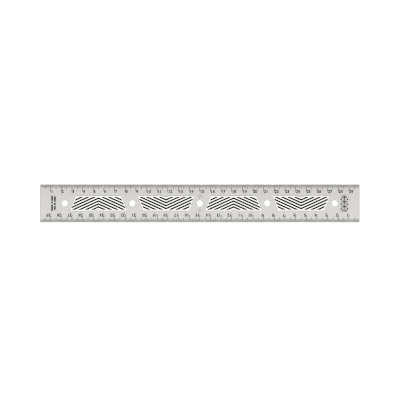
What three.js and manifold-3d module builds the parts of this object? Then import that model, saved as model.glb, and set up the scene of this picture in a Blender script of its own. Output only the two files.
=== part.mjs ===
// Quilting ruler, 30 cm: a flat see-through plate with five round holes along its middle and
// four grip pads between the holes, each pad carrying black chevron ribs.
//
// Millimetres, +Z up. The origin is the centre of the underside, the plate lies along X,
// and the graduated long edges are at -Y and +Y.

import * as THREE from 'three';
import { mergeVertices } from 'three/addons/utils/BufferGeometryUtils.js';
import Module from 'manifold-3d';

// Plate
const PLATE_LENGTH = 300;
const PLATE_WIDTH = 35.4;
const PLATE_THICKNESS = 3;
const EDGE_CHAMFER = 0.25;

// Holes on the centre line, one at the middle and two on each side of it
const HOLE_COUNT = 5;
const HOLE_PITCH = 63.4;
const HOLE_DIAMETER = 5.8;
const HOLE_FACETS = 40;

// Grip pads: a trapezoid with a shallow notch in its wide side, let into the top face.
// Heights across the plate are measured from the plate's centre line.
const PAD_COUNT = 4;
const PAD_NARROW_SIDE = 6.8;
const PAD_WIDE_SIDE = -6.8;
const PAD_HALF_LENGTH = 24;
const PAD_SIDE_LEAN = 0.36;
const PAD_CORNER_RADIUS = 1.2;
const PAD_THICKNESS = 0.625;
const POCKET_DEPTH = 0.5;
const POCKET_CLEARANCE = 0.1;

// Ribs: chevrons that follow each other across the pad, trimmed to an inner trapezoid
const CHEVRONS_PER_PAD = 4;
const STRAIGHT_RIBS_PER_HALF = 3;
const RIB_PITCH = 2.73;
const RIB_SLOPE = 0.455;
const RIB_WIDTH = 1.22;
const RIB_HEIGHT = 0.25;
const FIRST_CHEVRON_PEAK = 4.88;
const NOTCH_PEAK = -5.4;
const RIB_FIELD_NARROW_SIDE = 5.9;
const RIB_FIELD_WIDE_SIDE = -5.95;
const RIB_FIELD_HALF_LENGTH = 23.3;
const RIB_FIELD_SIDE_LEAN = 0.455;

const wasm = await Module();
wasm.setup();

const plateMaterial = () => new THREE.MeshStandardMaterial({
  color: 0xd7d5d2, roughness: 0.15, metalness: 0,
});
const padMaterial = () => new THREE.MeshStandardMaterial({
  color: 0xf7f7f4, roughness: 0.6, metalness: 0,
});
const ribMaterial = () => new THREE.MeshStandardMaterial({
  color: 0x1e1e1d, roughness: 0.7, metalness: 0,
});

// A three.js geometry as a manifold solid, which can be cut and joined
function solidFrom(geometry) {
  const bare = geometry.clone();
  bare.deleteAttribute('normal');
  bare.deleteAttribute('uv');
  const welded = mergeVertices(bare);
  return new wasm.Manifold(new wasm.Mesh({
    numProp: 3,
    vertProperties: new Float32Array(welded.attributes.position.array),
    triVerts: new Uint32Array(welded.index.array),
  }));
}

// A manifold solid as a three.js geometry
function geometryFrom(solid) {
  const mesh = solid.getMesh();
  const geometry = new THREE.BufferGeometry();
  geometry.setAttribute('position', new THREE.BufferAttribute(mesh.vertProperties, 3));
  geometry.setIndex(new THREE.BufferAttribute(mesh.triVerts, 1));
  geometry.computeVertexNormals();
  return geometry;
}

function namedMesh(name, geometry, material) {
  const mesh = new THREE.Mesh(geometry, material);
  mesh.name = name;
  return mesh;
}

// Places along X of a row of equally spaced things, centred on the plate
function rowAlongPlate(count) {
  return Array.from({ length: count }, (_, i) => (i - (count - 1) / 2) * HOLE_PITCH);
}

// A closed outline through the corners, with each corner turned into a short curve
function roundedOutline(corners, radius) {
  const outline = new THREE.Shape();
  corners.forEach((corner, i) => {
    const before = corners[(i + corners.length - 1) % corners.length];
    const after = corners[(i + 1) % corners.length];
    const start = corner.clone().add(before.clone().sub(corner).setLength(radius));
    const end = corner.clone().add(after.clone().sub(corner).setLength(radius));
    if (i === 0) outline.moveTo(start.x, start.y);
    else outline.lineTo(start.x, start.y);
    outline.quadraticCurveTo(corner.x, corner.y, end.x, end.y);
  });
  outline.closePath();
  return outline;
}

// The pad's outline, moved outwards on every side by the given amount
function padOutline(grow) {
  const narrow = PAD_NARROW_SIDE + grow;
  const wide = PAD_WIDE_SIDE - grow;
  const halfLength = PAD_HALF_LENGTH + grow * Math.hypot(1, PAD_SIDE_LEAN);
  const notchPeak = NOTCH_PEAK - grow * Math.hypot(1, RIB_SLOPE);
  const notchFoot = (notchPeak - wide) / RIB_SLOPE;
  const narrowEnd = halfLength - PAD_SIDE_LEAN * narrow;
  const wideEnd = halfLength - PAD_SIDE_LEAN * wide;
  return roundedOutline([
    new THREE.Vector2(narrowEnd, narrow),
    new THREE.Vector2(-narrowEnd, narrow),
    new THREE.Vector2(-wideEnd, wide),
    new THREE.Vector2(-notchFoot, wide),
    new THREE.Vector2(0, notchPeak),
    new THREE.Vector2(notchFoot, wide),
    new THREE.Vector2(wideEnd, wide),
  ], PAD_CORNER_RADIUS);
}

function prism(outline, height) {
  return new THREE.ExtrudeGeometry(outline, {
    depth: height, bevelEnabled: false, curveSegments: 6,
  });
}

// The chevrons run past the pad's ends and sides, and this field trims them
function ribField() {
  const narrowEnd = RIB_FIELD_HALF_LENGTH - RIB_FIELD_SIDE_LEAN * RIB_FIELD_NARROW_SIDE;
  const wideEnd = RIB_FIELD_HALF_LENGTH - RIB_FIELD_SIDE_LEAN * RIB_FIELD_WIDE_SIDE;
  const field = new THREE.Shape([
    new THREE.Vector2(narrowEnd, RIB_FIELD_NARROW_SIDE),
    new THREE.Vector2(-narrowEnd, RIB_FIELD_NARROW_SIDE),
    new THREE.Vector2(-wideEnd, RIB_FIELD_WIDE_SIDE),
    new THREE.Vector2(wideEnd, RIB_FIELD_WIDE_SIDE),
  ]);
  return solidFrom(prism(field, 3 * RIB_HEIGHT).translate(0, 0, -RIB_HEIGHT));
}

// One rib between two places along the pad. It has a constant width across itself,
// falls away from the pad's middle on both sides, and peaks where it crosses x = 0.
function ribGeometry(peak, fromX, toX, field) {
  const halfWidth = (RIB_WIDTH / 2) * Math.hypot(1, RIB_SLOPE);
  const stations = fromX * toX < 0 ? [fromX, 0, toX] : [fromX, toX];
  const upper = stations.map((x) => {
    return new THREE.Vector2(x, peak - RIB_SLOPE * Math.abs(x) + halfWidth);
  });
  const lower = stations.map((x) => {
    return new THREE.Vector2(x, peak - RIB_SLOPE * Math.abs(x) - halfWidth);
  });
  const band = new THREE.Shape([...lower, ...upper.reverse()]);
  return geometryFrom(solidFrom(prism(band, RIB_HEIGHT)).intersect(field));
}

function makePlate() {
  const outline = new THREE.Shape();
  outline.moveTo(-PLATE_LENGTH / 2, -PLATE_WIDTH / 2);
  outline.lineTo(PLATE_LENGTH / 2, -PLATE_WIDTH / 2);
  outline.lineTo(PLATE_LENGTH / 2, PLATE_WIDTH / 2);
  outline.lineTo(-PLATE_LENGTH / 2, PLATE_WIDTH / 2);
  outline.closePath();
  for (const x of rowAlongPlate(HOLE_COUNT)) {
    const hole = new THREE.Path();
    hole.absarc(x, 0, HOLE_DIAMETER / 2, 0, 2 * Math.PI, true);
    outline.holes.push(hole);
  }
  const blank = new THREE.ExtrudeGeometry(outline, {
    depth: PLATE_THICKNESS - 2 * EDGE_CHAMFER,
    curveSegments: HOLE_FACETS / 2,
    bevelEnabled: true,
    bevelThickness: EDGE_CHAMFER,
    bevelSize: EDGE_CHAMFER,
    bevelOffset: -EDGE_CHAMFER,
    bevelSegments: 1,
  }).translate(0, 0, EDGE_CHAMFER);

  const pocket = prism(padOutline(POCKET_CLEARANCE), 2 * POCKET_DEPTH);
  const plate = rowAlongPlate(PAD_COUNT).reduce((solid, x, i) => {
    const cutter = pocket.clone().rotateZ(padTurn(i));
    return solid.subtract(solidFrom(cutter.translate(x, 0, PLATE_THICKNESS - POCKET_DEPTH)));
  }, solidFrom(blank));
  return namedMesh('ruler_plate', geometryFrom(plate), plateMaterial());
}

// Every second pad is turned half round, so the chevrons point up and down by turns
function padTurn(index) {
  return index % 2 === 0 ? 0 : Math.PI;
}

// One pad with its ribs, in a group whose origin is the middle of the pad's pocket floor
function makeGrip(number) {
  const grip = new THREE.Group();
  grip.add(namedMesh(`grip_pad_${number}`, prism(padOutline(0), PAD_THICKNESS), padMaterial()));

  const field = ribField();
  const reach = PAD_HALF_LENGTH * 1.5;
  const ribs = [];
  for (let i = 0; i < CHEVRONS_PER_PAD; i += 1) {
    ribs.push(ribGeometry(FIRST_CHEVRON_PEAK - i * RIB_PITCH, -reach, reach, field));
  }
  for (const side of [-1, 1]) {
    for (let i = 1; i <= STRAIGHT_RIBS_PER_HALF; i += 1) {
      const [fromX, toX] = side < 0 ? [-reach, 0] : [0, reach];
      ribs.push(ribGeometry(FIRST_CHEVRON_PEAK + i * RIB_PITCH, fromX, toX, field));
    }
  }
  ribs.forEach((geometry, i) => {
    const rib = namedMesh(
      `grip_rib_${number}_${String(i + 1).padStart(2, '0')}`, geometry, ribMaterial(),
    );
    rib.position.z = PAD_THICKNESS;
    grip.add(rib);
  });
  return grip;
}

const ruler = new THREE.Group();
ruler.add(makePlate());
rowAlongPlate(PAD_COUNT).forEach((x, i) => {
  const grip = makeGrip(i + 1);
  grip.position.set(x, 0, PLATE_THICKNESS - POCKET_DEPTH);
  grip.rotation.z = padTurn(i);
  ruler.add(grip);
});

export default ruler;
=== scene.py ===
import math

import bmesh
import bpy
from mathutils import Matrix, Vector


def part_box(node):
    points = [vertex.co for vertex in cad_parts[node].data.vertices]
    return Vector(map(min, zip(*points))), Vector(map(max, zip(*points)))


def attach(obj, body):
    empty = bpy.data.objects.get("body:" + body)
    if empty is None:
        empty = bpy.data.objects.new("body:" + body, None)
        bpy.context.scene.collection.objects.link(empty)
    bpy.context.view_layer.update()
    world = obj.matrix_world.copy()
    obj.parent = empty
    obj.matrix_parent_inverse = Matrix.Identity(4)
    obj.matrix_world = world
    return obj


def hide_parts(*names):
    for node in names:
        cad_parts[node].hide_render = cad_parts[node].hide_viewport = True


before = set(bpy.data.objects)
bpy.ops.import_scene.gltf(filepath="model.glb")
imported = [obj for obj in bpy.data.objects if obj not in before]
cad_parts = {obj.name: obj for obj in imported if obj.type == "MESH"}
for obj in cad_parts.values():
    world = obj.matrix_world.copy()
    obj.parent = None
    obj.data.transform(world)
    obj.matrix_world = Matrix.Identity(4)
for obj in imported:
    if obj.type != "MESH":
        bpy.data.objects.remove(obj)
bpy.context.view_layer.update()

# A 30 cm quilting ruler of clear acrylic, lying on a pale light table and seen from straight above.
# The outlines of the plate, pads and ribs come from the CAD solids. This script rounds their edges,
# prints the scales on the plate and gives everything its material. Metres, +Z up, the plate along X.

MM = 0.001
GRID = 0.001 * MM
BODY = "root"
PLATE_NODE = "ruler_plate"

plate_low, plate_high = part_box(PLATE_NODE)
LEFT, RIGHT = plate_low.x, plate_high.x
EDGE = plate_high.y
TOP = plate_high.z
GRIPS = range(1, 1 + sum(name.startswith("grip_pad_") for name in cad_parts))

# Roundings
PLATE_CORNER = 0.4 * MM
PAD_ARRIS = 0.16 * MM
RIB_ARRIS = 0.1 * MM
RIB_CORNER = 0.22 * MM
ARRIS_STEPS = 4
CORNER_STEPS = 8
HOLE_STEPS = 96
PAD_GAP = 0.004 * MM

# Ink: a film just above the plate's top face
INK_LOW = TOP + 0.004 * MM
INK_HIGH = INK_LOW + 0.022 * MM

# Scales
TICK_WIDTH = 0.37 * MM
TICK_LENGTHS = {1: 2.65 * MM, 5: 4.1 * MM, 10: 6.9 * MM}
DIGIT_HEIGHT = 2.65 * MM
DIGIT_BASE = 7.9 * MM
DIGIT_PITCH = 1.93 * MM
DIGIT_WEIGHT = 0.09 * MM
FIRST_DIGIT = 1.2 * MM

# Two pale diamonds, above and below the middle hole
DIAMOND_OFFSET = 6.45 * MM
DIAMOND_REACH = 2.4 * MM

# Stitch marks near the left end. For each column's distance from that end: the upper and lower
# ends of its rows, measured from the ruler's long middle. All in millimetres.
STITCH_COLUMNS = {
    11.35: ((6.95, 2.3), (1.4, 0.25), (-1.25, -7.1)),
    13.95: ((6.3, 1.4), (0.3, -1.5), (-2.75, -6.2)),
}
STITCH_WIDTH = 1.5 * MM
STITCH_PITCH = 0.78 * MM
STITCH_GAP = 0.1 * MM

# Patchwork mark near the right end: a column of framed diamonds over a striped strip
PATCH_FROM_END = 14.3 * MM
PATCH_CENTRES = (5.8 * MM, 1.4 * MM, -3.0 * MM)
PATCH_REACH = (3.0 * MM, 2.2 * MM)
PATCH_FRAME = 0.34 * MM
PATCH_HEART_REACH = (1.35 * MM, 1.05 * MM)
PATCH_SIDE_REACH = 0.8 * MM
STRIPE_COUNT = 6
STRIPE_PITCH = 0.9 * MM
STRIPE_WIDTH = 0.44 * MM
STRIPE_ENDS = (-7.9 * MM, -5.7 * MM)

# What the acrylic lets through: of what is seen through it, from one long edge to the other, where
# painted shade makes it darker towards the upper edge and lighter towards the lower one, and of the
# light that falls through each of its faces
TINT_WITH_PAINTED_SHADE_AT_UPPER_EDGE = (0.661, 0.645, 0.623)
TINT_WITH_PAINTED_LIGHT_AT_LOWER_EDGE = (0.730, 0.720, 0.693)
SHADE = (0.95, 0.95, 0.95)

# The two colours that each of the other surfaces varies between
SATIN_EDGE = (0.40, 0.395, 0.38), (0.48, 0.475, 0.46)
WHITE_RUBBER = (0.892, 0.887, 0.869), (0.78, 0.768, 0.738)
BLACK_RUBBER = (0.007, 0.0068, 0.0064), (0.024, 0.023, 0.0215)
BLACK_INK = (0.006, 0.006, 0.006), (0.02, 0.02, 0.02)
PALE_INK = (0.22, 0.22, 0.22), (0.3, 0.3, 0.3)
PALE_INK_ALPHA = 0.12
TABLE = (0.5, 0.5, 0.5), (0.48, 0.48, 0.48)

# Camera, light and table. The box filter is narrower than the renderer's own. It makes the ribs as
# dark as in the photograph, and the slow bands in the millimetre ticks a little stronger.
VIEW_HEIGHT = 382.1 * MM
LENS = 250
SENSOR = 36
AIM = Vector((0.18 * MM, -0.12 * MM, TOP))
WORLD_LIGHT = 0.42
SOFTBOXES = {
    "front_softbox": (Vector((-0.15, -0.62, 2.2)), 0.8, 26.0),
    "back_softbox": (Vector((0.25, 0.75, 2.1)), 0.7, 14.0),
}
TABLE_SIZE = 6.0
TABLE_GAP = 0.05 * MM
TABLE_GLOW = 0.5
PIXEL_FILTER = "BOX"
PIXEL_FILTER_WIDTH = 1.05


# ---------------------------------------------------------------- outlines in the plate's plane

def left_of(direction):
    return Vector((-direction.y, direction.x))


def middle_of(outline):
    return sum(outline, Vector((0, 0))) / len(outline)


def area_of(outline):
    return sum(outline[i - 1].cross(point) for i, point in enumerate(outline)) / 2


def corner_turns(outline):
    """For each corner: the corner, the directions into and out of it, and the angle between them."""
    for i, corner in enumerate(outline):
        arriving = (corner - outline[i - 1]).normalized()
        leaving = (outline[(i + 1) % len(outline)] - corner).normalized()
        turn = math.atan2(arriving.cross(leaving), arriving.dot(leaving))
        yield corner, arriving, leaving, turn


def moved_inwards(outline, inset, radius=0.0, steps=0):
    """An anticlockwise outline moved inwards, with each corner rounded in that many steps."""
    ring = []
    for corner, arriving, leaving, turn in corner_turns(outline):
        inwards = (left_of(arriving) + left_of(leaving)).normalized()
        apex = corner + inwards * (inset / math.cos(turn / 2))
        if not steps:
            ring.append(apex)
            continue
        bulge = 1 if turn > 0 else -1
        arc = radius - bulge * inset
        centre = apex + inwards * (bulge * arc / math.cos(turn / 2))
        spoke = -bulge * arc * left_of(arriving)
        for step in range(steps + 1):
            ring.append(centre + Matrix.Rotation(turn * step / steps, 2) @ spoke)
    return ring


def circle(centre, radius):
    angles = [2 * math.pi * i / HOLE_STEPS for i in range(HOLE_STEPS)]
    return [centre + radius * Vector((math.cos(a), math.sin(a))) for a in angles]


def rectangle(left, right, low, high):
    return [Vector(corner) for corner in ((left, low), (right, low), (right, high), (left, high))]


def diamond(centre, across, up):
    return [centre + Vector(arm) for arm in ((across, 0), (0, up), (-across, 0), (0, -up))]


def half_turn(outlines):
    """The same outlines turned half round about the plate's middle."""
    return [[-point for point in outline] for outline in outlines]


def top_outlines(mesh):
    """The outlines round a mesh's flat top, with the solid on their left."""
    top = max(v.co.z for v in mesh.vertices)

    def grid_point(index):
        return tuple(round(c / GRID) for c in mesh.vertices[index].co)

    sides = set()
    for face in mesh.polygons:
        if all(abs(mesh.vertices[v].co.z - top) < GRID for v in face.vertices):
            points = [grid_point(v) for v in face.vertices]
            sides.update(zip(points, points[1:] + points[:1]))
    following = {a: b for a, b in sides if (b, a) not in sides}

    outlines = []
    while following:
        point = min(following)
        outline = []
        while point in following:
            outline.append(Vector(point[:2]) * GRID)
            point = following.pop(point)
        outlines.append([corner for corner, _, _, turn in corner_turns(outline) if abs(turn) > 1e-3])
    return outlines


def node_outlines(node):
    return top_outlines(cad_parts[node].data)


# ---------------------------------------------------------------- meshes

def new_piece(name, mesh):
    piece = bpy.data.objects.new(name, mesh)
    bpy.context.scene.collection.objects.link(piece)
    return piece


def finish_piece(name, bm, *materials):
    bmesh.ops.recalc_face_normals(bm, faces=bm.faces)
    mesh = bpy.data.meshes.new(name)
    bm.to_mesh(mesh)
    bm.free()
    for material in materials:
        mesh.materials.append(material)
    return new_piece(name, mesh)


def add_rings(bm, rings):
    """Joins a stack of (outline, height) rings with quads, and returns its vertices and faces."""
    rows = [[bm.verts.new((p.x, p.y, z)) for p in outline] for outline, z in rings]
    faces = []
    for low, high in zip(rows, rows[1:]):
        for i in range(len(low)):
            faces.append(bm.faces.new((low[i - 1], low[i], high[i], high[i - 1])))
    return rows, faces


def add_slab(bm, outline, low=INK_LOW, high=INK_HIGH):
    rows, _ = add_rings(bm, [(outline, low), (outline, high)])
    bm.faces.new(rows[0])
    bm.faces.new(rows[-1])


def add_frame(bm, outline, width):
    """A band of ink inside an outline."""
    inner = moved_inwards(outline, width)
    rings = [(outline, INK_LOW), (outline, INK_HIGH), (inner, INK_HIGH), (inner, INK_LOW)]
    rows, _ = add_rings(bm, rings)
    for i in range(len(outline)):
        bm.faces.new((rows[-1][i - 1], rows[-1][i], rows[0][i], rows[0][i - 1]))


def rounded_rise(low, high, radius):
    """(inset, height) up a wall whose top edge is rounded."""
    points = [(0.0, low)]
    for step in range(ARRIS_STEPS + 1):
        angle = math.pi / 2 * step / ARRIS_STEPS
        points.append((radius * (1 - math.cos(angle)), high - radius * (1 - math.sin(angle))))
    return points


def make_moulding(name, outline, heights, arris, corner, material):
    """A flat rubber moulding with a rounded upper edge and, where corner isn't 0, rounded corners."""
    bm = bmesh.new()
    steps = ARRIS_STEPS if corner else 0
    rings = []
    for inset, z in rounded_rise(*heights, arris):
        rings.append((moved_inwards(outline, inset, corner, steps), z))
    rows, walls = add_rings(bm, rings)
    for face in walls:
        face.smooth = True
    bm.faces.new(rows[0])
    bm.faces.new(rows[-1])
    return finish_piece(name, bm, material)


def fill_between(bm, loops):
    """Fills the flat area between closed loops of vertices."""
    edges = [bm.edges.get((loop[i - 1], vertex)) for loop in loops for i, vertex in enumerate(loop)]
    bmesh.ops.triangle_fill(bm, use_beauty=True, edges=edges)


def make_plate(clear, satin):
    """The acrylic plate: rounded edges, round holes and a pocket for each pad."""
    outlines = sorted(node_outlines(PLATE_NODE), key=lambda outline: -abs(area_of(outline)))
    flat, pockets, holes = outlines[0], outlines[1:1 + len(GRIPS)], outlines[1 + len(GRIPS):]
    arris = EDGE - max(point.y for point in flat)
    upper = rounded_rise(TOP / 2, TOP, arris)
    profile = [(inset, TOP - z) for inset, z in reversed(upper)][:-1] + upper

    outside = rectangle(LEFT, RIGHT, -EDGE, EDGE)
    stacks = [[(moved_inwards(outside, inset, PLATE_CORNER, CORNER_STEPS), z) for inset, z in profile]]
    for hole in holes:
        centre = middle_of(hole)
        radius = sum((point - centre).length for point in hole) / len(hole) - arris
        stacks.append([(circle(centre, radius + inset), z) for inset, z in profile])

    bm = bmesh.new()
    bottom, top = [], []
    for stack in stacks:
        rows, walls = add_rings(bm, stack)
        bottom.append(rows[0])
        top.append(rows[-1])
        for face in walls:
            face.smooth = True
            face.material_index = 1
    pocket_floor = min(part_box(f"grip_pad_{grip}")[0].z for grip in GRIPS)
    for pocket in pockets:
        rows, _ = add_rings(bm, [(pocket, pocket_floor), (pocket, TOP)])
        top.append(rows[-1])
        fill_between(bm, [rows[0]])
    fill_between(bm, bottom)
    fill_between(bm, top)
    return finish_piece("acrylic_plate", bm, clear, satin), arris


# ---------------------------------------------------------------- printing

def print_slabs(name, outlines, material):
    bm = bmesh.new()
    for outline in outlines:
        add_slab(bm, outline)
    return finish_piece(name, bm, material)


def tick_outlines(start):
    """The upper scale's ticks. Its zero is the plate's left end."""
    outlines = []
    for millimetre in range(1, round((RIGHT - LEFT) / MM)):
        step = max(s for s in TICK_LENGTHS if millimetre % s == 0)
        x = LEFT + millimetre * MM
        outlines.append(rectangle(
            x - TICK_WIDTH / 2, x + TICK_WIDTH / 2, EDGE - TICK_LENGTHS[step], EDGE - start,
        ))
    return outlines


def digit_outlines(digit):
    """A figure of Blender's own sans typeface, standing on the X axis and centred over its zero. Its
    outside is made bolder, and the holes in it keep their size."""
    curve = bpy.data.curves.new("digit", "FONT")
    text = new_piece("digit", curve)
    curve.body = "1"
    bpy.context.view_layer.update()
    curve.size *= DIGIT_HEIGHT / text.dimensions.y
    curve.body = digit
    curve.align_x = "CENTER"
    curve.resolution_u = 4
    mesh = bpy.data.meshes.new_from_object(text.evaluated_get(bpy.context.evaluated_depsgraph_get()))
    bpy.data.objects.remove(text)
    return [
        moved_inwards(outline, -DIGIT_WEIGHT) if area_of(outline) > 0 else outline
        for outline in top_outlines(mesh)
    ]


def add_figure(bm, outlines):
    """A slab of ink whose outlines include the holes in it."""
    low, high = [], []
    for outline in outlines:
        rows, _ = add_rings(bm, [(outline, INK_LOW), (outline, INK_HIGH)])
        low.append(rows[0])
        high.append(rows[-1])
    fill_between(bm, low)
    fill_between(bm, high)


def number_outlines(number, digits):
    """A centimetre number of the upper scale, just to the right of its tick."""
    base = Vector((LEFT + number * 10 * MM + FIRST_DIGIT, EDGE - DIGIT_BASE))
    for place, digit in enumerate(str(number)):
        corner = base + Vector((place * DIGIT_PITCH, 0))
        yield [[point + corner for point in outline] for outline in digits[digit]]


def print_numbers(name, turned, material):
    """The centimetre numbers of one scale."""
    digits = {digit: digit_outlines(digit) for digit in "0123456789"}
    bm = bmesh.new()
    for number in range(1, round((RIGHT - LEFT) / (10 * MM))):
        for outlines in number_outlines(number, digits):
            add_figure(bm, half_turn(outlines) if turned else outlines)
    return finish_piece(name, bm, material)


def stitches(x, high, low):
    """A short row of stitch-like blocks across the ruler."""
    count = max(1, round((high - low) / STITCH_PITCH))
    pitch = (high - low) / count
    left, right = x - STITCH_WIDTH / 2, x + STITCH_WIDTH / 2
    return [
        rectangle(left, right, low + i * pitch + STITCH_GAP, low + (i + 1) * pitch)
        for i in range(count)
    ]


def print_stitch_marks(material):
    """Two columns of stitches near the left end."""
    outlines = []
    for x, rows in STITCH_COLUMNS.items():
        for high, low in rows:
            outlines += stitches(LEFT + x * MM, high * MM, low * MM)
    return print_slabs("stitch_marks", outlines, material)


def print_patchwork_mark(material):
    """A column of patchwork diamonds over a striped strip, near the right end."""
    bm = bmesh.new()
    x = RIGHT - PATCH_FROM_END
    across, up = PATCH_REACH
    for y in PATCH_CENTRES:
        centre = Vector((x, y))
        add_frame(bm, diamond(centre, across, up), PATCH_FRAME)
        add_slab(bm, diamond(centre, *PATCH_HEART_REACH))
        for side in (1, -1):
            corner = centre + Vector((side * across, -up))
            add_slab(bm, diamond(corner, PATCH_SIDE_REACH, PATCH_SIDE_REACH))
    for i in range(STRIPE_COUNT):
        stripe = x + (i - (STRIPE_COUNT - 1) / 2) * STRIPE_PITCH
        add_slab(bm, rectangle(stripe - STRIPE_WIDTH / 2, stripe + STRIPE_WIDTH / 2, *STRIPE_ENDS))
    return finish_piece("patchwork_mark", bm, material)


# ---------------------------------------------------------------- materials

class Shader:
    """A material being put together, with short calls for the nodes used here."""

    def __init__(self, name):
        self.material = bpy.data.materials.new(name)
        self.material.use_nodes = True
        self.tree = self.material.node_tree
        self.principled = self.tree.nodes["Principled BSDF"]
        self.surface = self.tree.nodes["Material Output"].inputs["Surface"]
        self.place = self.node("ShaderNodeTexCoord").outputs["Object"]

    def node(self, kind, **settings):
        made = self.tree.nodes.new(kind)
        for setting, value in settings.items():
            setattr(made, setting, value)
        return made

    def feed(self, socket, value):
        if isinstance(value, bpy.types.NodeSocket):
            self.tree.links.new(value, socket)
        else:
            socket.default_value = value

    def set(self, **inputs):
        for name, value in inputs.items():
            self.feed(self.principled.inputs[name.replace("_", " ")], value)

    def noise(self, size, detail=2.0, longer=(1, 1, 1), turn=0.0):
        """Noise around 0.5, in features that many metres across and that many times longer along
        the axes, turned about Z."""
        mapping = self.node("ShaderNodeMapping", vector_type="TEXTURE")
        self.feed(mapping.inputs["Vector"], self.place)
        mapping.inputs["Scale"].default_value = longer
        mapping.inputs["Rotation"].default_value = (0, 0, turn)
        made = self.node("ShaderNodeTexNoise")
        self.feed(made.inputs["Vector"], mapping.outputs["Vector"])
        made.inputs["Scale"].default_value = 1 / size
        made.inputs["Detail"].default_value = detail
        return made.outputs["Fac"]

    def between(self, value, low, high, out_low=0.0, out_high=1.0):
        made = self.node("ShaderNodeMapRange")
        self.feed(made.inputs["Value"], value)
        ends = {"From Min": low, "From Max": high, "To Min": out_low, "To Max": out_high}
        for name, number in ends.items():
            made.inputs[name].default_value = number
        return made.outputs["Result"]

    def maths(self, operation, a, b):
        made = self.node("ShaderNodeMath", operation=operation)
        self.feed(made.inputs[0], a)
        self.feed(made.inputs[1], b)
        return made.outputs[0]

    def colour(self, factor, first, second):
        made = self.node("ShaderNodeMix", data_type="RGBA")
        self.feed(made.inputs["Factor"], factor)
        self.feed(made.inputs[6], (*first, 1.0))
        self.feed(made.inputs[7], (*second, 1.0))
        return made.outputs[2]

    def bump(self, height, distance, strength=1.0):
        made = self.node("ShaderNodeBump")
        made.inputs["Strength"].default_value = strength
        made.inputs["Distance"].default_value = distance
        self.feed(made.inputs["Height"], height)
        return made.outputs["Normal"]

    def across_plate(self):
        """0 at the lower long edge and 1 at the upper one, for the painted shade across the plate."""
        parts = self.node("ShaderNodeSeparateXYZ")
        self.feed(parts.inputs["Vector"], self.place)
        return self.between(parts.outputs["Y"], -EDGE, EDGE)

    def let_lamps_through(self):
        """Light goes straight through the shader, while the camera and mirrors see it bend."""
        rays = self.node("ShaderNodeLightPath")
        clear = self.node("ShaderNodeBsdfTransparent")
        clear.inputs["Color"].default_value = (*SHADE, 1.0)
        seen = self.principled.outputs["BSDF"]
        for kind in ("Is Diffuse Ray", "Is Shadow Ray"):
            mix = self.node("ShaderNodeMixShader")
            self.feed(mix.inputs["Fac"], rays.outputs[kind])
            self.feed(mix.inputs[1], seen)
            self.feed(mix.inputs[2], clear.outputs["BSDF"])
            seen = mix.outputs["Shader"]
        self.feed(self.surface, seen)


def clear_acrylic():
    """Clear plastic with a warm grey tint, with painted shade that darkens it towards the upper long
    edge, hairline scratches from use and faint smudges.
    """
    shader = Shader("clear_acrylic")
    smudges = shader.between(shader.noise(9 * MM, 4.0), 0.45, 0.75, 0.015, 0.07)
    scratches = 0.0
    for turn in (0.35, -0.6, 1.9):
        streaks = shader.noise(0.12 * MM, 0.0, longer=(90, 1, 1), turn=turn)
        scratches = shader.maths("MAXIMUM", scratches, shader.between(streaks, 0.72, 0.8))
    shader.set(
        # Painted shade: the tint is darker towards the upper long edge and lighter towards the lower
        # one.
        Base_Color=shader.colour(shader.across_plate(), TINT_WITH_PAINTED_LIGHT_AT_LOWER_EDGE, TINT_WITH_PAINTED_SHADE_AT_UPPER_EDGE),
        Roughness=shader.maths("ADD", smudges, shader.maths("MULTIPLY", scratches, 0.12)),
        IOR=1.49,
        Transmission_Weight=1.0,
        Normal=shader.bump(scratches, 0.001 * MM, 0.4),
    )
    shader.let_lamps_through()
    return shader.material


def satin_acrylic():
    """The cut edges: the same plastic, made satin by fine marks of the cutter across the edge."""
    shader = Shader("satin_acrylic")
    marks = shader.noise(0.16 * MM, 2.0, longer=(1, 1, 30))
    haze = shader.noise(3 * MM, 3.0)
    shader.set(
        Base_Color=shader.colour(haze, *SATIN_EDGE),
        Roughness=shader.between(marks, 0.35, 0.65, 0.28, 0.45),
        IOR=1.49,
        Transmission_Weight=0.6,
        Normal=shader.bump(marks, 0.008 * MM, 0.5),
    )
    shader.let_lamps_through()
    return shader.material


def white_rubber():
    """Soft white rubber with a fine pebbled grain, slightly soiled in patches and in the grain."""
    shader = Shader("white_rubber")
    grain = shader.noise(0.14 * MM, 3.0)
    patches = shader.between(shader.noise(4 * MM, 5.0), 0.35, 0.8, 0.0, 0.7)
    pits = shader.between(grain, 0.5, 0.32, 0.0, 0.5)
    shader.set(
        Base_Color=shader.colour(shader.maths("ADD", patches, pits), *WHITE_RUBBER),
        Roughness=shader.between(grain, 0.3, 0.7, 0.5, 0.75),
        Specular_IOR_Level=0.35,
        Normal=shader.bump(grain, 0.045 * MM, 0.9),
    )
    return shader.material


def black_rubber():
    """Black rubber with a fine grain and paler, worn patches."""
    shader = Shader("black_rubber")
    grain = shader.noise(0.12 * MM, 3.0)
    wear = shader.between(shader.noise(1.6 * MM, 5.0), 0.5, 0.85)
    shader.set(
        Base_Color=shader.colour(wear, *BLACK_RUBBER),
        Roughness=shader.between(grain, 0.3, 0.7, 0.5, 0.8),
        Specular_IOR_Level=0.18,
        Normal=shader.bump(grain, 0.035 * MM, 0.9),
    )
    return shader.material


def printing_ink(name, shades, alpha=1.0):
    """A printed film whose density varies a little."""
    shader = Shader(name)
    grain = shader.noise(0.06 * MM, 2.0)
    density = shader.between(shader.noise(0.5 * MM, 3.0), 0.3, 0.8)
    shader.set(
        Base_Color=shader.colour(density, *shades),
        Roughness=shader.between(grain, 0.3, 0.7, 0.55, 0.75),
        Specular_IOR_Level=0.15,
        Alpha=alpha,
        Normal=shader.bump(grain, 0.002 * MM, 0.5),
    )
    return shader.material


# ---------------------------------------------------------------- stage

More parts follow.
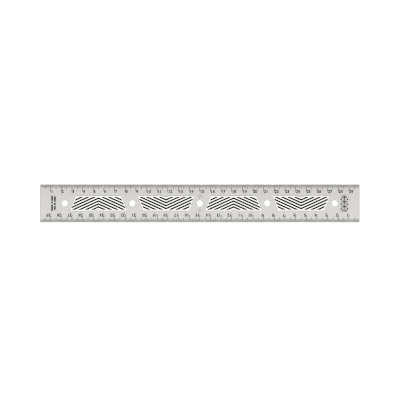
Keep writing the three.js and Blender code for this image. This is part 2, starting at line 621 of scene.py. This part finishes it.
def make_camera():
    camera = bpy.data.cameras.new("camera")
    camera.lens = LENS
    camera.sensor_width = SENSOR
    eye = new_piece("camera", camera)
    eye.location = AIM + Vector((0, 0, VIEW_HEIGHT * LENS / SENSOR))
    bpy.context.scene.camera = eye


def make_table():
    """A pale floor that also glows, for a white ground and a fainter dark band round the pads."""
    table = Shader("light_table")
    tone = table.noise(0.4, 2.0)
    table.set(
        Base_Color=table.colour(tone, *TABLE),
        Roughness=0.9,
        Emission_Color=(1.0, 1.0, 1.0, 1.0),
        Emission_Strength=TABLE_GLOW,
    )
    bm = bmesh.new()
    bmesh.ops.create_grid(bm, x_segments=1, y_segments=1, size=TABLE_SIZE / 2)
    floor = finish_piece("floor", bm, table.material)
    floor.location.z = -TABLE_GAP


def make_light():
    world = bpy.data.worlds.new("studio")
    world.use_nodes = True
    world.node_tree.nodes["Background"].inputs["Color"].default_value = (1.0, 1.0, 1.0, 1.0)
    world.node_tree.nodes["Background"].inputs["Strength"].default_value = WORLD_LIGHT
    bpy.context.scene.world = world
    bpy.context.scene.view_settings.view_transform = "Standard"
    for name, (place, size, power) in SOFTBOXES.items():
        light = bpy.data.lights.new(name, "AREA")
        light.energy = power
        light.size = size
        lamp = new_piece(name, light)
        lamp.location = place
        lamp.rotation_euler = place.to_track_quat("Z", "Y").to_euler()
        lamp.visible_camera = False


# ---------------------------------------------------------------- the ruler

def put(piece, slot, *nodes):
    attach(piece, BODY)
    if nodes:
        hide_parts(*nodes)


def put_moulding(name, slot, node, gap, arris, corner, material):
    """A CAD pad or rib made again with rounded edges, over a gap below it."""
    low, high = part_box(node)
    outline = node_outlines(node)[0]
    heights = low.z + gap, high.z
    put(make_moulding(name, outline, heights, arris, corner, material), slot, node)


make_camera()
make_light()
make_table()

plate, plate_arris = make_plate(clear_acrylic(), satin_acrylic())
put(plate, "plate", PLATE_NODE)

white, black = white_rubber(), black_rubber()
for grip in GRIPS:
    put_moulding(f"pad_{grip}", "pad", f"grip_pad_{grip}", PAD_GAP, PAD_ARRIS, 0, white)
    ribs = sorted(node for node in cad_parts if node.startswith(f"grip_rib_{grip}_"))
    for node in ribs:
        put_moulding(node.removeprefix("grip_"), "rib", node, 0, RIB_ARRIS, RIB_CORNER, black)

ink = printing_ink("black_ink", BLACK_INK)
pale_ink = printing_ink("pale_ink", PALE_INK, PALE_INK_ALPHA)
ticks = tick_outlines(plate_arris)
diamonds = [
    diamond(Vector((0, side * DIAMOND_OFFSET)), DIAMOND_REACH, DIAMOND_REACH)
    for side in (1, -1)
]
for piece in (
    print_slabs("ticks_upper", ticks, ink),
    print_slabs("ticks_lower", half_turn(ticks), ink),
    print_numbers("numbers_upper", False, ink),
    print_numbers("numbers_lower", True, ink),
    print_stitch_marks(ink),
    print_patchwork_mark(ink),
    print_slabs("middle_diamonds", diamonds, pale_ink),
):
    put(piece, "ink")

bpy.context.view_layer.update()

bpy.context.scene.cycles.pixel_filter_type = PIXEL_FILTER
bpy.context.scene.cycles.filter_width = PIXEL_FILTER_WIDTH
